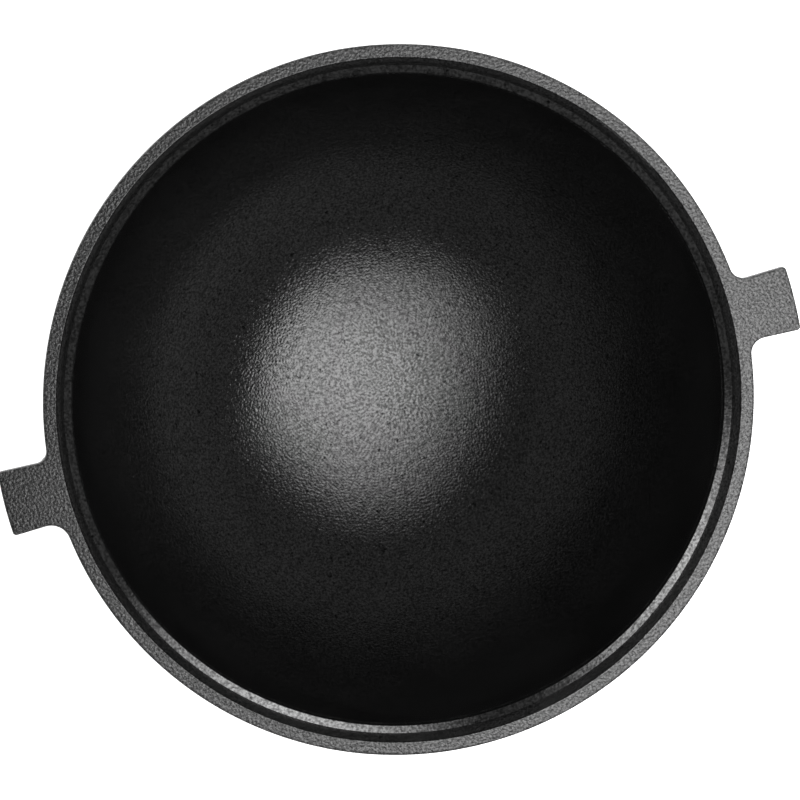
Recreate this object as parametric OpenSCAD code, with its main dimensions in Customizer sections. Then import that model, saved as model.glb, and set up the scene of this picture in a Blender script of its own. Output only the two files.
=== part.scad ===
/* [Bowl] */
// Inside radius of the ball that the dished bottom is a slice of
bowl_r = 165; // [140:0.5:190]
// Depth from the top of the rim to the inside bottom
bowl_depth = 195; // [160:1:230]
// Wall thickness near the top of the bowl
wall_t = 5; // [4:0.5:6.5]
// Thickness at the middle of the bottom
bottom_t = 7; // [5.5:0.5:10]
// Height above the ground where the dished bottom ends and the side wall starts
split_h = 80; // [60:1:110]
// Radius of the hollow corner where the wall meets the underside of the rim
neck_r = 5; // [2:0.5:6]

/* [Rim] */
// Outside diameter of the rim
rim_d = 380; // [330:1:430]
// Height of the rim's outer face
rim_h = 14; // [13:0.5:22]
// Width of the flat top of the rim
rim_flat = 6.8; // [4:0.1:9]
// Rounding of the outer edges of the rim, and of the edges at the ears' ends
edge_r = 1.2; // [0.5:0.1:2]

/* [Lid seat] */
// Depth of the recess that a lid drops into
recess_depth = 7; // [4:0.5:9]
// Lean of the recess wall, in degrees from upright
recess_draft = 32; // [1:1:40]
// Radius of the hollow corner at the foot of the recess wall
recess_r = 1; // [0.5:0.25:2.5]
// Width of the ledge, from the foot of the recess wall to the mouth of the bowl
ledge_w = 4.2; // [3.5:0.1:10]
// Bevel of the ledge's inner edge
ledge_edge = 0.5; // [0.3:0.1:1.5]

/* [Ears] */
// Width of an ear where it leaves the rim
ear_w = 33; // [20:1:60]
// Width of an ear at its end
ear_end_w = 35; // [20:1:60]
// How far an ear stands out from the rim
ear_reach = 28; // [20:1:45]
// Thickness of an ear
ear_t = 9; // [6:0.5:9]
// Size of the slanted brace under an ear, where it meets the rim's outer face
ear_brace = 2.5; // [1:0.5:2.5]
// Radius of the hollow corners in plan between an ear and the rim
ear_root_r = 8; // [3:0.5:12]
// Rounding in plan of the two corners at an ear's end
ear_corner_r = 2; // [1:0.5:6]

/* [Foot] */
// Outside diameter of the foot ring
foot_d = 116; // [100:1:150]
// Width of the foot ring's flat face
foot_w = 8; // [5:0.5:12]
// Height of the foot ring
foot_h = 4; // [3:0.5:4.5]
// Gap between the ground and the lowest point of the bowl
foot_lift = 2; // [1.5:0.25:4]
// Size of the flare between the foot's outside and the bowl
foot_flare = 4; // [1:0.5:6]

/* [Gate stub] */
// Diameter of the stub that is left where the iron was poured in
gate_d = 24; // [14:1:36]
// How far the stub stands out from the bowl
gate_h = 1; // [0.5:0.1:1.2]
// How deep the stub is rooted in the bowl
gate_root = 1.5; // [1:0.25:3]

/* [Hidden] */
$fn = 128;

// Heights above the ground
bowl_floor = foot_lift + bottom_t;
rim_top = bowl_floor + bowl_depth;
rim_low = rim_top - rim_h;
ledge_top = rim_top - recess_depth;

// Radii of the rim, of the recess inside it and of the ledge
rim_r = rim_d / 2;
recess_top_r = rim_r - rim_flat;
recess_low_r = recess_top_r - recess_depth * tan(recess_draft);
recess_corner = recess_r * tan(45 - recess_draft / 2);
seam_strip = 0.3;
seam_r = recess_low_r - recess_corner - seam_strip;
ledge_in_r = recess_low_r - ledge_w;

// The dished bottom lies between two balls, and the outer one's middle is lower, for a thicker bottom
inner_c = bowl_floor + bowl_r;
outer_r = bowl_r + wall_t;
outer_c = foot_lift + outer_r;
mid_ball_r = outer_r - wall_t / 2;
far = rim_top + rim_r;

// The wall carries the two balls' slope on, in arcs that end at the ledge and below the rim
inner_arc = carried_on(bowl_r, inner_c, [ledge_in_r, ledge_top]);
outer_arc = carried_on(outer_r, outer_c, [ledge_in_r + wall_t, rim_low]);
neck_z = rim_low - neck_r;
neck_x = outer_arc[0] + slice_r(outer_arc[2] + neck_r, outer_arc[1], neck_z);

// Hollow corners stop just short of where they would run out to nothing
run_out = 1;
// Rounded cuts reach this little past the faces that they touch, so that they leave no sliver
graze = 0.002;

ear_end_r = rim_r + ear_reach;
ear_low = rim_top - ear_t;
root_y = ear_w / 2 + ear_root_r;
root_x = sqrt(pow(rim_r + ear_root_r, 2) - root_y * root_y);
root_angle = atan2(root_y, root_x) - asin(run_out / rim_r);

// An ear's sides spread a little from the rim to its end
ear_end_y = ear_end_w / 2;
ear_end_x = sqrt(ear_end_r * ear_end_r - ear_end_y * ear_end_y);
ear_spread = atan2(ear_end_y - ear_w / 2, ear_end_x - root_x);

// The foot's flare is kept small enough to end above the foot ring
foot_out_r = foot_d / 2;
foot_in_r = foot_out_r - foot_w;
collar_top = under_z(outer_r, outer_c, foot_out_r);
collar_least = 0.5;
collar_flare = min(foot_flare, collar_top - foot_h - collar_least);
gate_r = gate_d / 2;

rim_grey = "#6c6a68";
bowl_black = "#262524";
under_grey = "#3f3d3b";

// Radius of the slice at height z through a ball of radius r with its middle at height c
function slice_r(r, c, z) = sqrt(r * r - (c - z) * (c - z));

// Height of the underside of that ball at a distance x from the axis
function under_z(r, c, x) = c - sqrt(r * r - x * x);

// Middle and radius of the arc that leaves that ball's outline at split_h and runs to the point p
function carried_on(r, c, p) =
    let (start = [slice_r(r, c, split_h), split_h])
    let (inward = ([0, c] - start) / r)
    let (chord = p - start)
    let (radius = (chord * chord) / (2 * (chord * inward)))
    concat(start + radius * inward, radius);

// Point in the middle of the dished bottom, on the line from the outer ball's middle to a point p
function bottom_point(p) =
    let (d = [p[0], p[1] - outer_c])
    [0, outer_c] + d * mid_ball_r / norm(d);

// Slice of the space between the two balls, up to the split
module dish() {
    intersection() {
        difference() {
            translate([0, 0, outer_c]) sphere(outer_r);
            translate([0, 0, inner_c]) sphere(bowl_r);
        }
        cylinder(r = far, h = split_h);
    }
}

// Circle in the half section that one of the wall's arcs is a part of, drawn finely because it is wide
module arc_circle(arc) {
    translate([arc[0], arc[1]]) circle(arc[2], $fn = 4 * $fn);
}

// Half section of the side wall
module wall_profile() {
    intersection() {
        difference() {
            arc_circle(outer_arc);
            arc_circle(inner_arc);
        }
        translate([foot_out_r, split_h]) square([far, rim_low - split_h]);
    }
}

// Filling of the hollow corner between the wall and the underside of the rim
module neck_profile() {
    middle = [neck_x, neck_z];
    touch_angle = atan2(outer_arc[1] - neck_z, outer_arc[0] - neck_x);
    stop_angle = touch_angle - run_out / neck_r * 180 / PI;
    to_wall = [cos(stop_angle), sin(stop_angle)];
    difference() {
        polygon([
            [ledge_in_r + wall_t / 2, rim_low],
            [neck_x, rim_low],
            middle,
            middle + (neck_r + wall_t / 2) * to_wall
        ]);
        translate(middle) circle(neck_r);
    }
}

// Collar of the dished bottom that stands on the foot ring
module collar_profile() {
    flare_r = foot_out_r + collar_flare;
    flare_end = [flare_r, under_z(outer_r, outer_c, flare_r) + graze];
    polygon([
        [foot_in_r, foot_h],
        [foot_out_r, foot_h],
        [foot_out_r, collar_top - collar_flare],
        flare_end,
        bottom_point(flare_end),
        [foot_in_r, under_z(mid_ball_r, outer_c, foot_in_r)]
    ]);
}

module bowl_bottom() {
    color(bowl_black)
    difference() {
        union() {
            dish();
            rotate_extrude() collar_profile();
        }
        cylinder(r = gate_r, h = foot_lift + gate_root);
    }
}

module bowl_wall() {
    color(bowl_black)
    union() {
        rotate_extrude() wall_profile();
        rotate_extrude() neck_profile();
    }
}

// Step inside the rim that a lid rests on
module lid_ledge() {
    color(rim_grey)
    rotate_extrude()
    difference() {
        polygon([
            [ledge_in_r - wall_t, rim_low],
            [seam_r, rim_low],
            [seam_r, ledge_top],
            [ledge_in_r + ledge_edge, ledge_top],
            [ledge_in_r - ledge_edge, ledge_top - 2 * ledge_edge]
        ]);
        arc_circle(inner_arc);
    }
}

// Cutter that rounds an outer corner at radius r and height z, on the top (side 1) or below (side -1)
module corner_cutter(r, z, side) {
    translate([r - edge_r, z - side * edge_r])
    difference() {
        translate([0, side > 0 ? 0 : -2 * edge_r]) square(2 * edge_r);
        circle(edge_r);
    }
}

// Half section of the rim, with its outer top corner still square
module rim_section() {
    middle = [recess_low_r - recess_corner, ledge_top + recess_r];
    difference() {
        polygon([
            [seam_r, rim_low],
            [rim_r, rim_low],
            [rim_r, rim_top],
            [recess_top_r, rim_top],
            [recess_low_r + recess_corner * sin(recess_draft),
                ledge_top + recess_corner * cos(recess_draft)],
            middle,
            [middle[0], ledge_top],
            [seam_r, ledge_top]
        ]);
        translate(middle) circle(recess_r + graze);
        corner_cutter(rim_r, rim_low, -1);
    }
}

// Flat-topped ring around the mouth, whose top edge is rounded between the ears
module rim() {
    color(rim_grey)
    difference() {
        rotate_extrude() rim_section();
        for (side = [0, 180])
            rotate([0, 0, root_angle + side])
            rotate_extrude(angle = 180 - 2 * root_angle)
            corner_cutter(rim_r, rim_top, 1);
    }
}

// Cutter in plan for the rounded corner at an ear's end
module ear_corner_cutter() {
    side_out = [-sin(ear_spread), cos(ear_spread)];
    side_along = [cos(ear_spread), sin(ear_spread)];
    across = root_x * side_out[0] + ear_w / 2 * side_out[1] - ear_corner_r;
    along = sqrt(pow(ear_end_r - ear_corner_r, 2) - across * across);
    middle = across * side_out + along * side_along;
    end_out = middle / norm(middle);
    span = 2 * ear_corner_r;
    difference() {
        polygon([
            middle,
            middle + span * side_out,
            middle + span * (side_out + end_out),
            middle + span * end_out
        ]);
        translate(middle) circle(ear_corner_r + graze);
    }
}

// Plan of a little more than one half of an ear that points along +X
module ear_half_plan() {
    root_dir = [cos(root_angle), sin(root_angle)];
    difference() {
        polygon([
            [rim_r / 2, -ear_corner_r],
            rim_r / 2 * root_dir,
            rim_r * root_dir,
            [root_x, root_y],
            [root_x, ear_w / 2],
            [ear_end_x, ear_end_y],
            [far, ear_end_y],
            [far, -ear_corner_r]
        ]);
        translate([root_x, root_y]) circle(ear_root_r + graze);
        ear_corner_cutter();
    }
}

// Half section through an ear, from the rim's outer face to its end
module ear_section() {
    difference() {
        polygon([
            [rim_r, rim_top],
            [ear_end_r, rim_top],
            [ear_end_r, ear_low],
            [rim_r + ear_brace, ear_low],
            [rim_r, ear_low - ear_brace]
        ]);
        corner_cutter(ear_end_r, rim_top, 1);
        corner_cutter(ear_end_r, ear_low, -1);
    }
}

// Flat lug that points along +X
module ear() {
    color(rim_grey)
    intersection() {
        rotate_extrude() ear_section();
        translate([0, 0, rim_low])
        linear_extrude(rim_h) {
            ear_half_plan();
            mirror([0, 1]) ear_half_plan();
        }
    }
}

module ear_right() {
    ear();
}

module ear_left() {
    rotate([0, 0, 180]) ear();
}

module foot_ring() {
    color(under_grey)
    difference() {
        cylinder(r = foot_out_r, h = foot_h);
        translate([0, 0, -foot_h]) cylinder(r = foot_in_r, h = 3 * foot_h);
    }
}

// Ground-off stub in the middle of the underside
module gate_stub() {
    color(under_grey)
    translate([0, 0, foot_lift - gate_h]) cylinder(r = gate_r, h = gate_h + gate_root);
}

bowl_bottom();
bowl_wall();
lid_ledge();
rim();
ear_right();
ear_left();
foot_ring();
gate_stub();
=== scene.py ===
# %% [markdown]
# # A cast iron cauldron, looked down into
# The pot is one iron casting: a round-bottomed bowl, a flat-topped rim with a step inside it for a lid, two
# flat ears and a low foot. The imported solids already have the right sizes, so they are the frame here, and
# each piece below stands exactly where its solid stands. What the solids lack is the skin of a real casting:
# softened edges, a slightly uneven surface, ears that flow into the rim, and the two finishes of the iron.

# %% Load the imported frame
import math
import bmesh
import bpy
from mathutils import Matrix, Vector, noise


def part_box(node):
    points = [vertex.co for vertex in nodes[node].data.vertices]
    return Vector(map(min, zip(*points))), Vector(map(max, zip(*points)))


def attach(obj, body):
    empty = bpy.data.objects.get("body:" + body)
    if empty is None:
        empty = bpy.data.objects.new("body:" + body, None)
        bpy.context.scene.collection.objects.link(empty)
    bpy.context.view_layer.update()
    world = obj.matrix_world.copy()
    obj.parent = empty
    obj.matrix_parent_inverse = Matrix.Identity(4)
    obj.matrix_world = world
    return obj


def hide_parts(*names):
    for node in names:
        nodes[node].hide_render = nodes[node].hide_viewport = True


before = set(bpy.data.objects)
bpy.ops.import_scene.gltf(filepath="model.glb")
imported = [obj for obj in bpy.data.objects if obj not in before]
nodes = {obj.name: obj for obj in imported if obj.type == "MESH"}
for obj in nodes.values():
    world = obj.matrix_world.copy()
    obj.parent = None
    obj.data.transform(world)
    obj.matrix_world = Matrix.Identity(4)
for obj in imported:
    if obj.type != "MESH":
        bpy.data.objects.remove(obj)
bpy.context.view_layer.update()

# %% [markdown]
# ## Sizes
# Everything is in metres, and `MM` lets a size be written in millimetres. Sizes that a solid's box shows are
# read from it. The others are the pattern's own values, which no box shows.

# %% Sizes read from the solids
MM = 0.001
rim_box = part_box("rim")
ear_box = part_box("ear_right")
foot_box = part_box("foot_ring")
gate_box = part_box("gate_stub")

rim_r = max(rim_box[1].x, rim_box[1].y)
rim_top = rim_box[1].z
rim_low = rim_box[0].z
ear_end_r = round(ear_box[1].x / MM) * MM
split_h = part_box("bowl_bottom")[1].z
foot_r = foot_box[1].x
foot_h = foot_box[1].z
gate_r = gate_box[1].x
gate_low = gate_box[0].z
gate_high = gate_box[1].z
print(f"rim {2 * rim_r / MM:.1f} mm wide, top at {rim_top / MM:.1f} mm, ears end at {ear_end_r / MM:.1f} mm")

# %% Sizes of the pattern
bowl_r = 165 * MM
bowl_depth = 195 * MM
wall_t = 5 * MM
foot_lift = 2 * MM
foot_w = 8 * MM
neck_r = 5 * MM
recess_depth = 7 * MM
recess_draft = math.radians(32)
recess_r = 1 * MM
rim_flat = 6.8 * MM
ledge_w = 4.2 * MM
ear_w = 33 * MM
ear_end_w = 35 * MM
ear_t = 9 * MM

bowl_floor = rim_top - bowl_depth
inner_c = bowl_floor + bowl_r
outer_ball_r = bowl_r + wall_t
outer_c = foot_lift + outer_ball_r
ledge_top = rim_top - recess_depth
ear_low = rim_top - ear_t
recess_top_r = rim_r - rim_flat
recess_low_r = recess_top_r - recess_depth * math.tan(recess_draft)
recess_corner = recess_r * math.tan(math.pi / 4 - recess_draft / 2)
seam_strip = 0.3 * MM
seam_r = recess_low_r - recess_corner - seam_strip
ledge_in_r = recess_low_r - ledge_w
foot_in_r = foot_r - foot_w

# %% [markdown]
# ## Camera
# The photograph looks down into the pot from far away, and a little from the upper left: the rim is 0.9 percent
# narrower that way than across it, the ledge sits about a pixel off the rim's middle, and the soft highlight
# in the bowl sits off it the same way. A camera 3 m away that leans 5 degrees gives all three.
# Angles round the pot are counted from +X, the right ear, towards +Y.

# %% Place the camera
camera_far = 3.0
camera_lean = math.radians(5)
camera_side = math.radians(121)
frame_across = 426.4 * MM
picture_up = math.radians(75.5)
aim_up = 0.55 * MM


def flat(angle, length=1.0):
    """Vector in the ground plane at an angle round the pot."""
    return Vector((math.cos(angle), math.sin(angle), 0)) * length


rim_middle = Vector((0, 0, rim_top)) + flat(picture_up, aim_up)
toward_camera = flat(camera_side, math.sin(camera_lean)) + Vector((0, 0, math.cos(camera_lean)))
camera_data = bpy.data.cameras.new("camera")
camera_data.sensor_width = 36
camera_data.lens = camera_data.sensor_width * camera_far / frame_across
camera_data.clip_end = 20
camera = bpy.data.objects.new("camera", camera_data)
bpy.context.scene.collection.objects.link(camera)
across = flat(picture_up).cross(toward_camera).normalized()
upward = toward_camera.cross(across)
turned = Matrix((across, upward, toward_camera)).transposed()
camera.matrix_world = Matrix.Translation(rim_middle + toward_camera * camera_far) @ turned.to_4x4()
bpy.context.scene.camera = camera
print(f"camera: lens {camera_data.lens:.1f} mm, {camera_far} m from the rim")

# %% [markdown]
# ## A pen for half sections
# A pot is a turned shape, so each piece starts as half of its cross section and is spun round the axis.
# The pen below draws that half section in the XZ plane. `line` extrudes the last point, and `arc` spins it
# round a middle point, both of them bmesh operators, so a radius is written as a radius and stays round.

# %% The pen
class HalfSection:
    """Half of a piece's cross section, drawn stroke by stroke in the XZ plane."""

    def __init__(self, x, z):
        self.bm = bmesh.new()
        self.tip = self.bm.verts.new((x, 0, z))
        self.first = self.tip

    def line(self, x, z, steps=1):
        """Straight stroke to (x, z)."""
        start = self.tip.co.copy()
        end = Vector((x, 0, z))
        for step in range(steps):
            grown = bmesh.ops.extrude_vert_indiv(self.bm, verts=[self.tip])
            self.tip = grown["verts"][0]
            self.tip.co = start.lerp(end, (step + 1) / steps)
        return self

    def arc(self, middle, turn, steps):
        """Round stroke about middle = (x, z), through turn radians, positive from +X towards +Z."""
        centre = Vector((middle[0], 0, middle[1]))
        grown = bmesh.ops.spin(
            self.bm, geom=[self.tip], cent=centre, axis=(0, -1, 0), dvec=(0, 0, 0),
            angle=turn, steps=steps, use_duplicate=False,
        )
        self.tip = [item for item in grown["geom_last"] if isinstance(item, bmesh.types.BMVert)][0]
        return self

    def close(self):
        """Last stroke, back to the first point."""
        self.bm.edges.new((self.tip, self.first))
        return self


def bearing(middle, point):
    """Direction of point = (x, z) seen from middle, in radians from +X towards +Z."""
    return math.atan2(point[1] - middle[1], point[0] - middle[0])


def arc_between(middle, start, end):
    """Turn in radians from start to end about middle, the short way round."""
    turn = bearing(middle, end) - bearing(middle, start)
    return math.atan2(math.sin(turn), math.cos(turn))


# %% [markdown]
# ## Turning and casting
# `turned_piece` spins a half section all the way round, merges the points that fall on the axis, and points the
# faces outwards. A real casting is never perfectly round or smooth, so `cast` then moves each point a little:
# a slight oval, and two sizes of soft unevenness. It depends on the point's place alone, so pieces that meet
# are moved alike and stay flush, and no seam opens between them.

# %% Turn, cast and finish a piece
round_steps = 384
oval_part = 0.0028
oval_side = math.radians(31)
swell_length = 70 * MM
swell = 0.12 * MM
ripple_length = 18 * MM
ripple = 0.022 * MM
settle_h = 12 * MM
crease = math.radians(38)


def cast(bm):
    """Moves the points by the casting's small faults, which fade out towards the ground."""
    for vert in bm.verts:
        place = vert.co.copy()
        side = math.atan2(place.y, place.x)
        oval = 1 + oval_part * math.cos(2 * (side - oval_side))
        shift = noise.noise_vector(place / swell_length) * swell
        shift += noise.noise_vector(place / ripple_length) * ripple
        fade = min(1.0, max(0.0, place.z / settle_h))
        shift.z *= fade
        vert.co = Vector((place.x * oval, place.y * oval, place.z)) + shift


def turned_piece(section, steps=round_steps):
    """Spins a half section round the Z axis into a closed shell."""
    bm = section.bm
    bmesh.ops.spin(
        bm, geom=bm.verts[:] + bm.edges[:], cent=(0, 0, 0), axis=(0, 0, 1), dvec=(0, 0, 0),
        angle=2 * math.pi, steps=steps, use_merge=True, use_duplicate=False,
    )
    bmesh.ops.remove_doubles(bm, verts=bm.verts[:], dist=0.002 * MM)
    bmesh.ops.recalc_face_normals(bm, faces=bm.faces[:])
    return bm


def finished(bm, name, node, materials, pick=None):
    """Turns a bmesh into a piece that stands for a CAD node and rides on its body."""
    if pick:
        for face in bm.faces:
            face.material_index = pick(face)
    mesh = bpy.data.meshes.new(name)
    bm.to_mesh(mesh)
    bm.free()
    mesh.shade_smooth()
    mesh.set_sharp_from_angle(angle=crease)
    for material in materials:
        mesh.materials.append(material)
    piece = bpy.data.objects.new(name, mesh)
    bpy.context.scene.collection.objects.link(piece)
    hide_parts(node)
    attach(piece, "root")
    print(f"{name}: {len(mesh.vertices)} points, {len(mesh.polygons)} faces")
    return piece


# %% [markdown]
# ## Shader arithmetic
# A material is a formula. This small class wraps a node's output, so that `1 - mask` or `a * b` adds the Math
# nodes that it needs. Every other kind of node comes from `Shader.node`.

# %% The socket class
class Value:
    """A node's output that can be added, multiplied and so on."""

    def __init__(self, shader, socket):
        self.shader = shader
        self.socket = socket

    def _math(self, kind, *values):
        return self.shader.node("ShaderNodeMath", {"operation": kind}, values)

    def __add__(self, other):
        return self._math("ADD", self, other)

    def __sub__(self, other):
        return self._math("SUBTRACT", self, other)

    def __rsub__(self, other):
        return self._math("SUBTRACT", other, self)

    def __mul__(self, other):
        return self._math("MULTIPLY", self, other)

    def __pow__(self, other):
        return self._math("POWER", self, other)

    __radd__ = __add__
    __rmul__ = __mul__


class Shader:
    """The nodes of a material, a light or the world."""

    def __init__(self, owner, output="ShaderNodeOutputMaterial", place="Object"):
        owner.use_nodes = True
        self.owner = owner
        self.tree = owner.node_tree
        self.tree.nodes.clear()
        self.out = self.tree.nodes.new(output)
        self.place = self.node("ShaderNodeTexCoord", {}, {}, place)

    def node(self, kind, settings, inputs, output=0):
        """Adds a node, sets its settings first and its sockets after, and gives back one output."""
        made = self.tree.nodes.new(kind)
        for key, value in settings.items():
            if key == "stops":
                self._stops(made.color_ramp, value)
            else:
                setattr(made, key, value)
        pairs = inputs.items() if isinstance(inputs, dict) else enumerate(inputs)
        for key, value in pairs:
            if isinstance(value, Value):
                self.tree.links.new(value.socket, made.inputs[key])
            else:
                made.inputs[key].default_value = value
        return Value(self, made.outputs[output])

    def _stops(self, ramp, stops):
        """Sets a ramp's stops, given as (position, grey or colour)."""
        while len(ramp.elements) < len(stops):
            ramp.elements.new(0.5)
        for element, (position, shade) in zip(ramp.elements, stops):
            element.position = position
            element.color = grey(shade) if isinstance(shade, (int, float)) else shade

    def smooth_step(self, value, start, end):
        """0 below start, 1 above end, and a soft slope between them."""
        inputs = {"Value": value, "From Min": start, "From Max": end}
        return self.node("ShaderNodeMapRange", {"interpolation_type": "SMOOTHSTEP"}, inputs, "Result")

    def grain(self, wavelength, detail=2.0, rough=0.5):
        """Noise of about that wavelength in metres, between 0 and 1."""
        inputs = {"Vector": self.place, "Scale": 1 / wavelength, "Detail": detail, "Roughness": rough}
        return self.node("ShaderNodeTexNoise", {"noise_dimensions": "3D"}, inputs, "Fac")

    def from_axis(self):
        """Distance from the pot's axis in metres."""
        flattened = self.node("ShaderNodeVectorMath", {"operation": "MULTIPLY"}, (self.place, (1, 1, 0)))
        return self.node("ShaderNodeVectorMath", {"operation": "LENGTH"}, (flattened,), "Value")

    def dull_grains(self, wavelength):
        """Mask of the grains that the blacking left dull: as black metal they shine less than the rest."""
        return self.smooth_step(self.grain(wavelength), 0.3, 0.7)

    def ramp(self, value, stops):
        """Colour ramp over a value."""
        return self.node("ShaderNodeValToRGB", {"stops": stops}, {"Fac": value}, "Color")

    def bump(self, height, filter_width=0.4):
        """Normal from a height in metres."""
        inputs = {"Height": height, "Strength": 1.0, "Distance": 1.0, "Filter Width": filter_width}
        return self.node("ShaderNodeBump", {}, inputs, "Normal")

    def finish(self, **sockets):
        """Principled shader with the given sockets, wired to the output."""
        named = {key.replace("_", " "): value for key, value in sockets.items()}
        return self.show("ShaderNodeBsdfPrincipled", named)

    def show(self, kind, inputs):
        """Wires a node of that kind to the output and gives back the material, light or world."""
        surface = self.node(kind, {}, inputs)
        self.tree.links.new(surface.socket, self.out.inputs["Surface"])
        return self.owner


def grey(level, tint=(1.0, 1.0, 1.0)):
    """Colour of that grey level."""
    return (level * tint[0], level * tint[1], level * tint[2], 1.0)


# %% [markdown]
# ## Finish of the bowl
# The inside was ground smoother and then blacked, so it is a near-black gloss over a fine orange peel. Nearly
# all of its light is a reflection, which is why the peel shows as glitter where the highlight ends. The peel
# is bump, because it is finer than a pixel or two, and a few pits and oil marks break it up.

# %% Bowl finish
peel_length = 1.35 * MM
peel_height = 0.19 * MM
fine_length = 0.8 * MM
fine_height = 0.02 * MM
grain_length = 1.3 * MM
pit_length = 3 * MM
patch_length = 45 * MM
blacking_ior = 1.7
ledge_lean = math.radians(43.5)
ledge_peel = 0.08 * MM


def bowl_finish(name, peel_h=peel_height, lean=0):
    """Blacked, fairly glossy inside of the bowl, or the same with grooves whose faces lean towards the axis."""
    iron = Shader(bpy.data.materials.new(name))
    peel = iron.grain(peel_length, detail=1.0)
    fine = iron.grain(fine_length, detail=1.0)
    patches = iron.grain(patch_length, detail=3.0)
    height = peel * peel_h + fine * fine_height
    if lean:
        height = height + iron.from_axis() * math.tan(lean)
    colour = iron.ramp(patches, [(0.3, 0.002), (0.7, 0.004)])
    dull = iron.dull_grains(grain_length) * 0.7
    dull = dull + iron.smooth_step(iron.grain(pit_length), 0.63, 0.71) * 0.3
    roughness = 0.12 + patches * 0.05
    return iron.finish(
        Base_Color=colour, Roughness=roughness, Metallic=dull, IOR=blacking_ior, Normal=iron.bump(height),
    )


bowl_iron = bowl_finish("blacked bowl iron")
ledge_iron = bowl_finish("turned ledge iron", ledge_peel, ledge_lean)

# %% [markdown]
# ## Skin of the rim, the ears and the outside
# Where the iron was only blasted and blacked it keeps the print of the sand: a dull grey skin of grains about
# as big as coarse sand. Its light and dark specks are mostly grains that face towards or away from the light,
# so the height does most of the work and the colour only a little.

# %% Rim and outside finishes
sand_length = 1.5 * MM
sand_height = 1.1 * MM
speck_length = 1.3 * MM
dust_length = 0.6 * MM


def skin_finish(name, level, roughness_low, height=sand_height):
    """Sand-cast skin of a given grey."""
    iron = Shader(bpy.data.materials.new(name))
    sand = iron.grain(sand_length, detail=2.0)
    dust = iron.grain(dust_length, detail=1.0)
    patches = iron.grain(patch_length, detail=3.0)
    relief = sand * height
    shade = sand * 0.5 + dust * 0.3 + patches * 0.2
    colour = iron.ramp(shade, [(0.3, level * 0.6), (0.7, level * 1.4)])
    dull = iron.dull_grains(speck_length) * 0.7
    roughness = roughness_low + dust * 0.15
    return iron.finish(
        Base_Color=colour, Roughness=roughness, Metallic=dull, IOR=blacking_ior, Normal=iron.bump(relief),
    )


rim_iron = skin_finish("sand-cast rim iron", 0.010, 0.28)
outside_iron = skin_finish("sand-cast outside iron", 0.010, 0.36)
ground_iron = skin_finish("worn foot iron", 0.12, 0.35, height=0.04 * MM)

# %% [markdown]
# ## The bowl
# The dished bottom lies between two balls. Above the split the wall carries their slope on in wider arcs that
# end at the ledge and under the rim. `carried_on` finds such an arc from two facts: it leaves the ball
# without a kink, and it passes through a given point.

# %% Arcs of the wall
def slice_r(ball_r, ball_c, z):
    """Radius of the slice at height z through a ball with its middle at height ball_c."""
    return math.sqrt(ball_r ** 2 - (ball_c - z) ** 2)


def carried_on(ball_r, ball_c, point):
    """Middle and radius of the arc that leaves the ball's outline at the split and passes through point."""
    start = Vector((slice_r(ball_r, ball_c, split_h), split_h))
    inward = (Vector((0, ball_c)) - start) / ball_r
    chord = Vector(point) - start
    radius = chord.dot(chord) / (2 * chord.dot(inward))
    return start + radius * inward, radius


inner_split = (slice_r(bowl_r, inner_c, split_h), split_h)
outer_split = (slice_r(outer_ball_r, outer_c, split_h), split_h)
inner_mid, inner_arc_r = carried_on(bowl_r, inner_c, (ledge_in_r, ledge_top))
outer_mid, outer_arc_r = carried_on(outer_ball_r, outer_c, (ledge_in_r + wall_t, rim_low))


def wall_x(mid, radius, z):
    """Distance from the axis of a wall arc at height z."""
    return mid.x + math.sqrt(radius ** 2 - (z - mid.y) ** 2)


print(f"wall arcs: inside {inner_arc_r / MM:.0f} mm, outside {outer_arc_r / MM:.0f} mm")

# %% Dished bottom
collar_r = 5 * MM
ball_steps = 64


def bowl_bottom_section():
    """Half section of the dished bottom, with the collar that stands on the foot ring."""
    ball_mid = (0, outer_c)
    collar_z = outer_c - math.sqrt((outer_ball_r + collar_r) ** 2 - (foot_r + collar_r) ** 2)
    collar_mid = (foot_r + collar_r, collar_z)
    reach = outer_ball_r / (outer_ball_r + collar_r)
    collar_top = (collar_mid[0] * reach, outer_c + (collar_z - outer_c) * reach)
    hollow_z = outer_c - slice_r(outer_ball_r, 0, foot_in_r)
    gate_top = outer_c - slice_r(outer_ball_r, 0, gate_r)
    pen = HalfSection(0, bowl_floor)
    pen.arc((0, inner_c), arc_between((0, inner_c), (0, bowl_floor), inner_split), ball_steps)
    pen.line(*outer_split, steps=2)
    pen.arc(ball_mid, arc_between(ball_mid, outer_split, collar_top), 50)
    pen.arc(collar_mid, -arc_between(collar_mid, (foot_r, collar_z), collar_top), 8)
    pen.line(foot_r, foot_h, steps=3)
    pen.line(foot_in_r, foot_h, steps=3)
    pen.line(foot_in_r, hollow_z, steps=3)
    pen.arc(ball_mid, arc_between(ball_mid, (foot_in_r, hollow_z), (gate_r, gate_top)), 16)
    pen.line(gate_r, gate_high)
    pen.line(0, gate_high)
    return pen


def faces_inside(face):
    """0 for faces that look into the bowl, 1 for the outside."""
    middle = face.calc_center_median()
    to_eye = Vector((0, 0, inner_c)) - middle
    return 0 if face.normal.dot(to_eye) > 0 else 1


bottom = turned_piece(bowl_bottom_section())
cast(bottom)
bottom.normal_update()
bowl_finishes = [bowl_iron, outside_iron]
finished(bottom, "bowl_bottom_casting", "bowl_bottom", bowl_finishes, faces_inside)

# %% Side wall
neck_z = rim_low - neck_r
neck_x = outer_mid.x + math.sqrt((outer_arc_r + neck_r) ** 2 - (neck_z - outer_mid.y) ** 2)
wall_steps = 44


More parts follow.
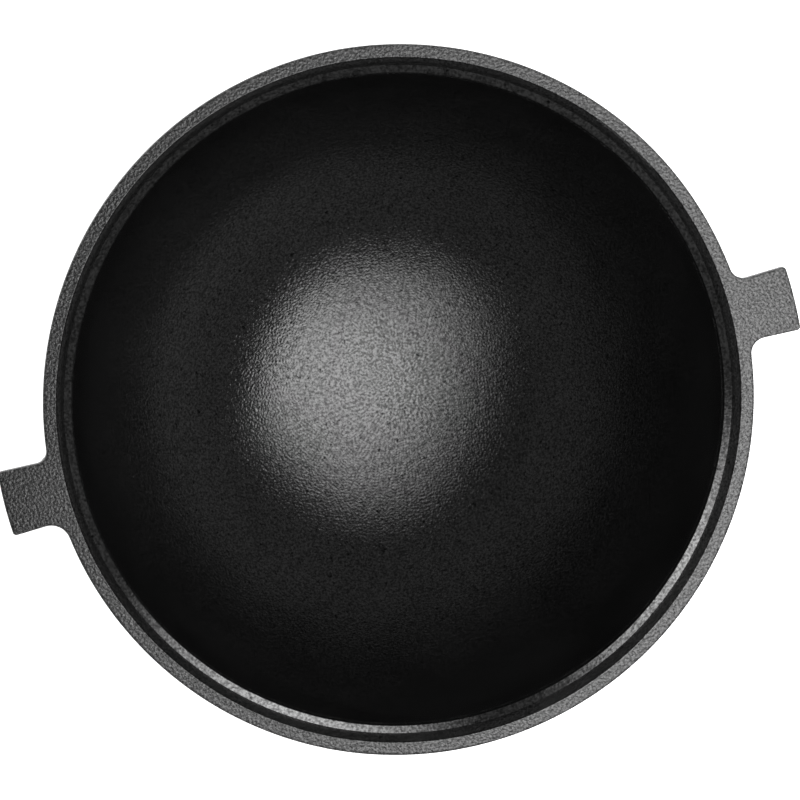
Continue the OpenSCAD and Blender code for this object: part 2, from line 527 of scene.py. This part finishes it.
def bowl_wall_section():
    """Half section of the side wall, with the hollow corner below the rim."""
    inner_top = (wall_x(inner_mid, inner_arc_r, rim_low), rim_low)
    neck_mid = (neck_x, neck_z)
    reach = outer_arc_r / (outer_arc_r + neck_r)
    neck_end = outer_mid + (Vector(neck_mid) - outer_mid) * reach
    pen = HalfSection(*inner_split)
    pen.arc(inner_mid, arc_between(inner_mid, inner_split, inner_top), wall_steps)
    pen.line(neck_x, rim_low, steps=4)
    pen.arc(neck_mid, arc_between(neck_mid, (neck_x, rim_low), neck_end), 8)
    pen.arc(outer_mid, arc_between(outer_mid, neck_end, outer_split), wall_steps)
    pen.line(*inner_split, steps=2)
    return pen


wall = turned_piece(bowl_wall_section())
cast(wall)
wall.normal_update()
finished(wall, "bowl_wall_casting", "bowl_wall", bowl_finishes, faces_inside)

# %% [markdown]
# ## The ledge
# The lid rests on this step. Only the low lamps light it, as if its face leaned towards the bowl: it was turned,
# and the fine grooves of that have one broad side and one steep side. They are in its finish, not in its shape.

# %% Lid ledge
ledge_edge_r = 0.25 * MM


def lid_ledge_section():
    """Half section of the step inside the rim."""
    edge_mid = (ledge_in_r + ledge_edge_r, ledge_top - ledge_edge_r)
    low_point = (wall_x(inner_mid, inner_arc_r, rim_low), rim_low)
    edge_low = (wall_x(inner_mid, inner_arc_r, edge_mid[1]), edge_mid[1])
    pen = HalfSection(*low_point)
    pen.arc(inner_mid, arc_between(inner_mid, low_point, edge_low), 6)
    pen.arc(edge_mid, -math.pi / 2, 5)
    pen.line(seam_r, ledge_top, steps=8)
    pen.line(seam_r, rim_low, steps=3)
    pen.line(*low_point, steps=3)
    return pen


ledge = turned_piece(lid_ledge_section(), steps=768)
cast(ledge)
finished(ledge, "lid_ledge_casting", "lid_ledge", [ledge_iron])

# %% [markdown]
# ## The rim and its ears
# The ears flow into the rim, so the three are shaped as one and parted afterwards. The half section is drawn
# through the middle of an ear and spun all the way round, which gives a rim with a wide flange. Then the
# flange is pushed back to the rim wherever there is no ear: every column of points gets a place on the plan
# outline, and its rows are laid out again between the recess and that outline. Points that fall together
# are merged.

# %% Plan outline of the ears
ear_corner_r = 2 * MM
ear_spread = math.atan2((ear_end_w - ear_w) / 2, ear_end_r - rim_r)
side_dir = Vector((math.cos(ear_spread), math.sin(ear_spread)))
side_out = Vector((-math.sin(ear_spread), math.cos(ear_spread)))


def ear_half(end_r, root_r, corner_r=ear_corner_r):
    """Points and outward directions along half of an ear's outline, from the rim to the middle of its end."""
    end_y = ear_end_w / 2
    side_at = Vector((math.sqrt(ear_end_r ** 2 - end_y ** 2), end_y)).dot(side_out)
    root_mid = side_out * (side_at + root_r)
    root_mid += side_dir * math.sqrt((rim_r + root_r) ** 2 - root_mid.length_squared)
    corner_mid = side_out * (side_at - corner_r)
    corner_mid += side_dir * math.sqrt((end_r - corner_r) ** 2 - corner_mid.length_squared)
    out = []
    root_start = math.atan2(-root_mid.y, -root_mid.x)
    root_end = math.atan2(-side_out.y, -side_out.x)
    root_turn = math.atan2(math.sin(root_end - root_start), math.cos(root_end - root_start))
    for step in range(14):
        angle = root_start + root_turn * step / 14
        ray = Vector((math.cos(angle), math.sin(angle)))
        out.append((root_mid + root_r * ray, -ray))
    side_start = root_mid - root_r * side_out
    side_end = corner_mid + corner_r * side_out
    for step in range(12):
        out.append((side_start.lerp(side_end, step / 12), side_out.copy()))
    corner_start = math.atan2(side_out.y, side_out.x)
    corner_end = math.atan2(corner_mid.y, corner_mid.x)
    for step in range(6):
        angle = corner_start + (corner_end - corner_start) * step / 6
        ray = Vector((math.cos(angle), math.sin(angle)))
        out.append((corner_mid + corner_r * ray, ray))
    for step in range(12):
        angle = corner_end * (1 - step / 12)
        ray = Vector((math.cos(angle), math.sin(angle)))
        out.append((end_r * ray, ray))
    return out


def ear_outline(middle, end_r, root_before, root_after):
    """Columns of a whole ear: (base direction, outline point, outward direction), in order round the pot."""
    columns = []
    for side, root_r in ((-1, root_before), (1, root_after)):
        half = ear_half(end_r, root_r)
        root_angle = math.atan2(half[0][0].y, half[0][0].x)
        lengths = [0.0]
        for before, after in zip(half, half[1:]):
            lengths.append(lengths[-1] + (after[0] - before[0]).length)
        total = lengths[-1] + (half[-1][0] - Vector((end_r, 0))).length
        part = []
        for (point, outward), length in zip(half, lengths):
            own = math.atan2(point.y, point.x)
            spread_out = root_angle * (1 - length / total)
            share = min(1.0, (point.length - rim_r) / (6 * MM))
            share = share * share * (3 - 2 * share)
            part.append((own + (spread_out - own) * share, point, outward))
        tip = (0.0, Vector((end_r, 0)), Vector((1, 0)))
        mirrored = [(side * a, Vector((p.x, side * p.y)), Vector((n.x, side * n.y))) for a, p, n in part]
        columns += mirrored + [tip] if side < 0 else mirrored[::-1]
    spin = Matrix.Rotation(middle, 2)
    return [(a + middle, spin @ p, spin @ n) for a, p, n in columns]


right_ear = ear_outline(0, ear_end_r, 8.5 * MM, 7.5 * MM)
left_ear = ear_outline(math.pi, ear_end_r - 0.8 * MM, 6.4 * MM, 10.5 * MM)

column_gap = 1.6 * MM / rim_r


def rim_stretch(start, end):
    """Columns of plain rim strictly between two angles."""
    count = round((end - start) / column_gap)
    out = []
    for step in range(1, count):
        angle = start + (end - start) * step / count
        ray = Vector((math.cos(angle), math.sin(angle)))
        out.append((angle, ray * rim_r, ray))
    return out


columns = right_ear + rim_stretch(right_ear[-1][0], left_ear[0][0])
columns += left_ear + rim_stretch(left_ear[-1][0], right_ear[0][0] + 2 * math.pi)
print(f"rim and ears: {len(columns)} columns, {len(right_ear)} of them round each ear")

# %% Foot and top edge of the recess wall
inner_edge_r = 0.5 * MM
edge_mid_r = recess_top_r + inner_edge_r * math.cos(recess_draft)
edge_mid_r -= inner_edge_r * (1 - math.sin(recess_draft)) * math.tan(recess_draft)
edge_start_r = edge_mid_r - inner_edge_r * math.cos(recess_draft)
edge_start_z = rim_top - inner_edge_r * (1 - math.sin(recess_draft))

# %% Half section through the middle of an ear
outer_edge_r = 1.3 * MM
under_fillet = 4 * MM
top_rows = 18
edge_rows = 5
wall_rows = 4


def rim_rows():
    """Names the rows of the half section, as (kind, share) pairs, from the seam with the ledge round to it again."""
    rows = [("strip", step / 3) for step in range(3)]
    rows += [("recess", step / wall_rows) for step in range(wall_rows)]
    rows += [("inner_edge", step / 4) for step in range(5)]
    rows += [("top", step / top_rows) for step in range(1, top_rows)]
    rows += [("outer_edge", step / edge_rows) for step in range(edge_rows + 1)]
    rows += [("side", step / wall_rows) for step in range(1, wall_rows)]
    rows += [("low_edge", step / edge_rows) for step in range(edge_rows + 1)]
    rows += [("under", step / 10) for step in range(1, 10)]
    rows += [("fillet", step / 6) for step in range(7)]
    rows += [("skirt", step / wall_rows) for step in range(1, wall_rows)]
    rows += [("skirt_edge", step / edge_rows) for step in range(edge_rows + 1)]
    rows += [("bottom", step / 3) for step in range(1, 4)]
    rows += [("seam", step / 3) for step in range(1, 3)]
    return rows


def ring_point(ray, radius, z):
    """Point at a radius and height in the direction of ray."""
    return Vector((ray.x * radius, ray.y * radius, z))


def quarter(share):
    """(sine, 1 - cosine) of that share of a quarter turn."""
    angle = share * math.pi / 2
    return math.sin(angle), 1 - math.cos(angle)


def rim_row_point(kind, share, angle, point, outward):
    """Place of one row's point in one column."""
    ray = Vector((math.cos(angle), math.sin(angle)))
    reach = max(0.0, point.length - rim_r)
    low_r = min(outer_edge_r, 0.35 * reach)
    fillet_r = min(under_fillet, 0.35 * reach)
    if kind == "strip":
        return ring_point(ray, seam_r + (recess_low_r - seam_r) * share, ledge_top)
    if kind == "recess":
        radius = recess_low_r + (edge_start_r - recess_low_r) * share
        return ring_point(ray, radius, ledge_top + (edge_start_z - ledge_top) * share)
    if kind == "inner_edge":
        lean = recess_draft + (math.pi / 2 - recess_draft) * share
        height = rim_top - inner_edge_r * (1 - math.sin(lean))
        return ring_point(ray, edge_mid_r - inner_edge_r * math.cos(lean), height)
    top_start = ring_point(ray, edge_mid_r, rim_top)
    inset = Vector((point.x - outward.x * outer_edge_r, point.y - outward.y * outer_edge_r, rim_top))
    if kind == "top":
        return top_start.lerp(inset, share)
    if kind == "outer_edge":
        along, left = quarter(share)
        back = outer_edge_r * (1 - along)
        return Vector((point.x - outward.x * back, point.y - outward.y * back, rim_top - outer_edge_r * left))
    side_high = rim_top - outer_edge_r
    if kind == "side":
        return Vector((point.x, point.y, side_high + (ear_low + low_r - side_high) * share))
    if kind == "low_edge":
        along, left = quarter(share)
        back = low_r * left
        return Vector((point.x - outward.x * back, point.y - outward.y * back, ear_low + low_r * (1 - along)))
    under_start = Vector((point.x - outward.x * low_r, point.y - outward.y * low_r, ear_low))
    under_end = ring_point(ray, rim_r + fillet_r, ear_low)
    if kind == "under":
        return under_start.lerp(under_end, share)
    if kind == "fillet":
        along, left = quarter(share)
        return ring_point(ray, rim_r + fillet_r * (1 - along), ear_low - fillet_r * left)
    skirt_high = ear_low - fillet_r
    if kind == "skirt":
        return ring_point(ray, rim_r, skirt_high + (rim_low + outer_edge_r - skirt_high) * share)
    if kind == "skirt_edge":
        along, left = quarter(share)
        return ring_point(ray, rim_r - outer_edge_r * left, rim_low + outer_edge_r * (1 - along))
    if kind == "bottom":
        radius = rim_r - outer_edge_r
        return ring_point(ray, radius + (seam_r - radius) * share, rim_low)
    return ring_point(ray, seam_r, rim_low + (ledge_top - rim_low) * share)


# %% Spin the section, then lay the ears' outline into it
def rim_with_ears():
    """Rim and both ears as one closed shell."""
    rows = rim_rows()
    angle, point, outward = right_ear[len(right_ear) // 2]
    bm = bmesh.new()
    row_layer = bm.verts.layers.int.new("row")
    section = []
    for number, (kind, share) in enumerate(rows):
        vert = bm.verts.new(rim_row_point(kind, share, angle, point, outward))
        vert[row_layer] = number
        section.append(vert)
    for before, after in zip(section, section[1:] + section[:1]):
        bm.edges.new((before, after))
    bmesh.ops.spin(
        bm, geom=bm.verts[:] + bm.edges[:], cent=(0, 0, 0), axis=(0, 0, 1), dvec=(0, 0, 0),
        angle=2 * math.pi, steps=len(columns), use_merge=True, use_duplicate=False,
    )
    for vert in bm.verts:
        turned = math.atan2(vert.co.y, vert.co.x) / (2 * math.pi) * len(columns)
        column = (round(turned) + len(right_ear) // 2) % len(columns)
        kind, share = rows[vert[row_layer]]
        vert.co = rim_row_point(kind, share, *columns[column])
    bmesh.ops.remove_doubles(bm, verts=bm.verts[:], dist=0.02 * MM)
    bmesh.ops.recalc_face_normals(bm, faces=bm.faces[:])
    return bm


whole_rim = rim_with_ears()
cast(whole_rim)
whole_rim.normal_update()
print(f"rim and ears: {len(whole_rim.faces)} faces")

# %% [markdown]
# Now the shape is parted where an ear leaves the rim. `bisect_plane` cuts along a plane and throws one side
# away, and `holes_fill` closes the cut, so each of the three stays a closed body.

# %% Part the ears from the rim
part_x = 187.6 * MM


def kept_side(source, cuts):
    """Copy of source cut by planes, each given as (x, side to keep), with the cuts closed."""
    bm = source.copy()
    for x, keep in cuts:
        everything = bm.verts[:] + bm.edges[:] + bm.faces[:]
        cut = bmesh.ops.bisect_plane(
            bm, geom=everything, dist=0.0005 * MM, plane_co=(x, 0, 0), plane_no=(-keep, 0, 0),
            clear_outer=True, clear_inner=False,
        )
        rim_edges = [e for e in cut["geom_cut"] if isinstance(e, bmesh.types.BMEdge)]
        bmesh.ops.holes_fill(bm, edges=rim_edges, sides=0)
    bmesh.ops.recalc_face_normals(bm, faces=bm.faces[:])
    return bm


def recess_or_top(face):
    """2, the ledge's finish, for the ledge, 1, the bowl's, for the recess wall, and 0, the skin, elsewhere."""
    middle = face.calc_center_median()
    if middle.to_2d().length > recess_top_r - 0.15 * MM or middle.z < ledge_top - 0.5 * MM:
        return 0
    return 2 if face.normal.z > 0.8 and middle.z < ledge_top + 0.5 * MM else 1


rim_finishes = [rim_iron, bowl_iron, ledge_iron]
rim_parts = (
    ("rim_casting", "rim", [(part_x, -1), (-part_x, 1)]),
    ("ear_right_casting", "ear_right", [(part_x, 1)]),
    ("ear_left_casting", "ear_left", [(-part_x, -1)]),
)
for name, node, cuts in rim_parts:
    finished(kept_side(whole_rim, cuts), name, node, rim_finishes, recess_or_top)
whole_rim.free()

# %% [markdown]
# ## The foot and the gate
# The pot stands on a low ring whose face is worn bright. In the middle of the underside is the stub where the
# iron was poured in, knocked off and ground.

# %% Foot ring
foot_edge_r = 0.8 * MM


def foot_ring_section():
    """Half section of the foot ring, with its lower edges rounded."""
    pen = HalfSection(foot_in_r, foot_h)
    pen.line(foot_in_r, foot_edge_r, steps=2)
    pen.arc((foot_in_r + foot_edge_r, foot_edge_r), math.pi / 2, 4)
    pen.line(foot_r - foot_edge_r, 0, steps=4)
    pen.arc((foot_r - foot_edge_r, foot_edge_r), math.pi / 2, 4)
    pen.line(foot_r, foot_h, steps=2)
    pen.line(foot_in_r, foot_h, steps=3)
    return pen


def worn_face(face):
    """1 for the flat face that the foot stands on, 0 for its sides."""
    return 1 if face.normal.z < -0.7 else 0


foot = turned_piece(foot_ring_section(), steps=384)
cast(foot)
foot.normal_update()
finished(foot, "foot_ring_casting", "foot_ring", [outside_iron, ground_iron], worn_face)

# %% Gate stub
gate_edge_r = 0.4 * MM


def gate_stub_section():
    """Half section of the ground-off stub."""
    pen = HalfSection(0, gate_low)
    pen.line(gate_r - gate_edge_r, gate_low, steps=10)
    pen.arc((gate_r - gate_edge_r, gate_low + gate_edge_r), math.pi / 2, 4)
    pen.line(gate_r, gate_high, steps=2)
    pen.line(0, gate_high, steps=4)
    return pen


gate = turned_piece(gate_stub_section(), steps=128)
cast(gate)
gate.normal_update()
finished(gate, "gate_stub_casting", "gate_stub", [outside_iron, ground_iron], worn_face)

# %% [markdown]
# ## Floor, light and view
# The pot stands on a white studio floor that is bright enough to stay white all round it.

# %% Floor
floor_half = 6.0


def white_floor():
    """Large white floor, staged so that it isn't part of the object."""
    white = Shader(bpy.data.materials.new("white floor"))
    material = white.finish(
        Base_Color=grey(0.8), Roughness=0.9, Emission_Color=grey(1.0), Emission_Strength=1.0,
    )
    bm = bmesh.new()
    bmesh.ops.create_grid(bm, x_segments=2, y_segments=2, size=floor_half)
    mesh = bpy.data.meshes.new("floor")
    bm.to_mesh(mesh)
    bm.free()
    mesh.materials.append(material)
    floor = bpy.data.objects.new("floor", mesh)
    bpy.context.scene.collection.objects.link(floor)


white_floor()


# %% [markdown]
# ## Light
# The rim is four times as bright at the lower right as at the upper left, and no far lamp can do that. So the
# main light is a large sheet of cloth that hangs a hand's width above the pot, off to the lower right, and
# fades towards its edges, as a cloth does that is lit from behind in its middle. The polished bowl shows it as
# the broad soft disc. Two lamps stand so low at the upper left that the rim hides them from the bowl: they light
# the ledge at two places across the mouth, and the outside of the pot.

# %% Sheet of light above the pot
sheet_turn = math.radians(-34.7)
sheet_size = (0.84, 1.04)
sheet_out = 0.157
sheet_round = -0.03
sheet_height = 0.21
sheet_rise = math.radians(10)
sheet_glow = 6.2
sheet_fades = ((0.40, 0.34), (0.60, 0.51))


def area_light(name, size, glow, matrix):
    """Rectangular area light of a given radiance, which the camera doesn't see."""
    data = bpy.data.lights.new(name, "AREA")
    data.shape = "RECTANGLE"
    data.size, data.size_y = size
    data.energy = glow * math.pi * size[0] * size[1]
    light = bpy.data.objects.new(name, data)
    bpy.context.scene.collection.objects.link(light)
    light.matrix_world = matrix
    light.visible_camera = False
    return data


def feather(data, fade_across, fade_along):
    """Fades an area light towards its edges, over the given shares of its width and of its length."""
    cloth = Shader(data, "ShaderNodeOutputLight")
    across = cloth.node("ShaderNodeNewGeometry", {}, {}, "Parametric")
    across = cloth.node("ShaderNodeSeparateXYZ", {}, {"Vector": across}, "X")
    along = cloth.node("ShaderNodeNewGeometry", {}, {}, "Parametric")
    along = cloth.node("ShaderNodeSeparateXYZ", {}, {"Vector": along}, "Y")
    glow = cloth.smooth_step(across, 0.0, fade_across[0])
    glow = glow * cloth.smooth_step(1 - across, 0.0, fade_across[1])
    glow = glow * cloth.smooth_step(along, 0.0, fade_along[0])
    glow = glow * cloth.smooth_step(1 - along, 0.0, fade_along[1])
    cloth.show("ShaderNodeEmission", {"Strength": glow})


def sheet_matrix():
    """Place of the sheet: its X axis points away from the pot and rises a little."""
    outward = flat(sheet_turn, math.cos(sheet_rise)) + Vector((0, 0, math.sin(sheet_rise)))
    sideways = flat(sheet_turn + math.pi / 2)
    place = flat(sheet_turn, sheet_out) + sideways * sheet_round + Vector((0, 0, rim_top + sheet_height))
    turned = Matrix((outward, sideways, outward.cross(sideways))).transposed()
    return Matrix.Translation(place) @ turned.to_4x4()


feather(area_light("cloth above the pot", sheet_size, sheet_glow, sheet_matrix()), *sheet_fades)


# %% Low lamps
lamp_lean = 80
lamp_far = 1.6
lamp_size = (2.4, 0.4)
lamp_glow = 8.4
lamp_fades = ((0.5, 0.5), (0.2, 0.2))


def low_lamp(name, side):
    """Lamp that looks at the middle of the mouth from a side of the pot, given in degrees."""
    toward = flat(math.radians(side), math.sin(math.radians(lamp_lean)))
    toward.z = math.cos(math.radians(lamp_lean))
    turned = toward.to_track_quat("Z", "Y").to_matrix().to_4x4()
    place = Matrix.Translation(Vector((0, 0, rim_top)) + toward * lamp_far)
    feather(area_light(name, lamp_size, lamp_glow, place @ turned), *lamp_fades)


low_lamp("low lamp at the left", 135.5)
low_lamp("low lamp at the top", 50.5)

# %% World and view
wall_glow = 0.5
ceiling_glow = 0.15
sky = bpy.data.worlds.new("studio")
bpy.context.scene.world = sky
studio = Shader(sky, "ShaderNodeOutputWorld", "Generated")
height = studio.node("ShaderNodeSeparateXYZ", {}, {"Vector": studio.place}, "Z")
rise = studio.smooth_step(height, 0.10, 0.30)
studio.show("ShaderNodeBackground", {"Strength": rise * (ceiling_glow - wall_glow) + wall_glow})
bpy.context.scene.view_settings.view_transform = "Standard"
